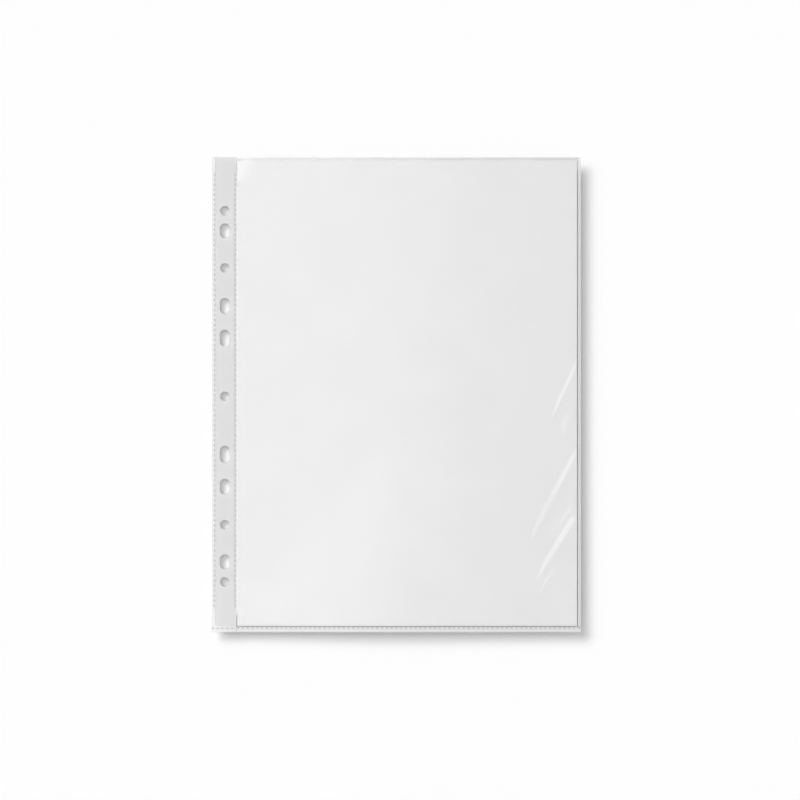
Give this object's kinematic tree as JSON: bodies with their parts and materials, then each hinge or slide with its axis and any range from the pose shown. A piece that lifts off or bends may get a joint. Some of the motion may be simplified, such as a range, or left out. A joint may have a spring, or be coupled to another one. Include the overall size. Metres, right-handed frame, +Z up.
{
  "type": "sheet protector",
  "caption": "Clear pocket for ring binders with a reinforced punched strip, dotted welded seams, an open mouth and a white sheet that slides in from the top.",
  "frame": {"origin": "middle of the pocket's footprint, on the surface that it lies on", "axes": "+Z up out of the front film, +Y along the pocket towards its open mouth, +X across it from the strip to the side fold"},
  "size_m": [0.2384, 0.307, 0.0006],
  "materials": {
    "clear_film": "clear, faintly grained",
    "fused_film": "fused, dotted",
    "tape": "translucent",
    "paper": "matt, uncoated"
  },
  "bodies": {
    "binding_strip": {"strip_back": "clear_film", "reinforcing_tape": "tape", "strip_front": "clear_film", "outer_weld": "fused_film", "strip_foot_weld": "fused_film"},
    "pocket": {"back_panel": "clear_film", "front_panel": "clear_film", "side_fold": "clear_film", "bottom_weld": "fused_film", "hinge_weld": "fused_film"},
    "insert": {"insert_sheet": "paper"}
  },
  "joints": [
    {"name": "leaf_hinge", "type": "hinge", "parent": "binding_strip", "child": "pocket", "pos_m": [-0.10486, 0, 0.0003], "axis": [0, -1, 0], "range_deg": [0, 90]},
    {"name": "sheet_slide", "type": "slide", "parent": "pocket", "child": "insert", "axis": [0, 1, 0], "range_m": [0, 0.31]}
  ]
}
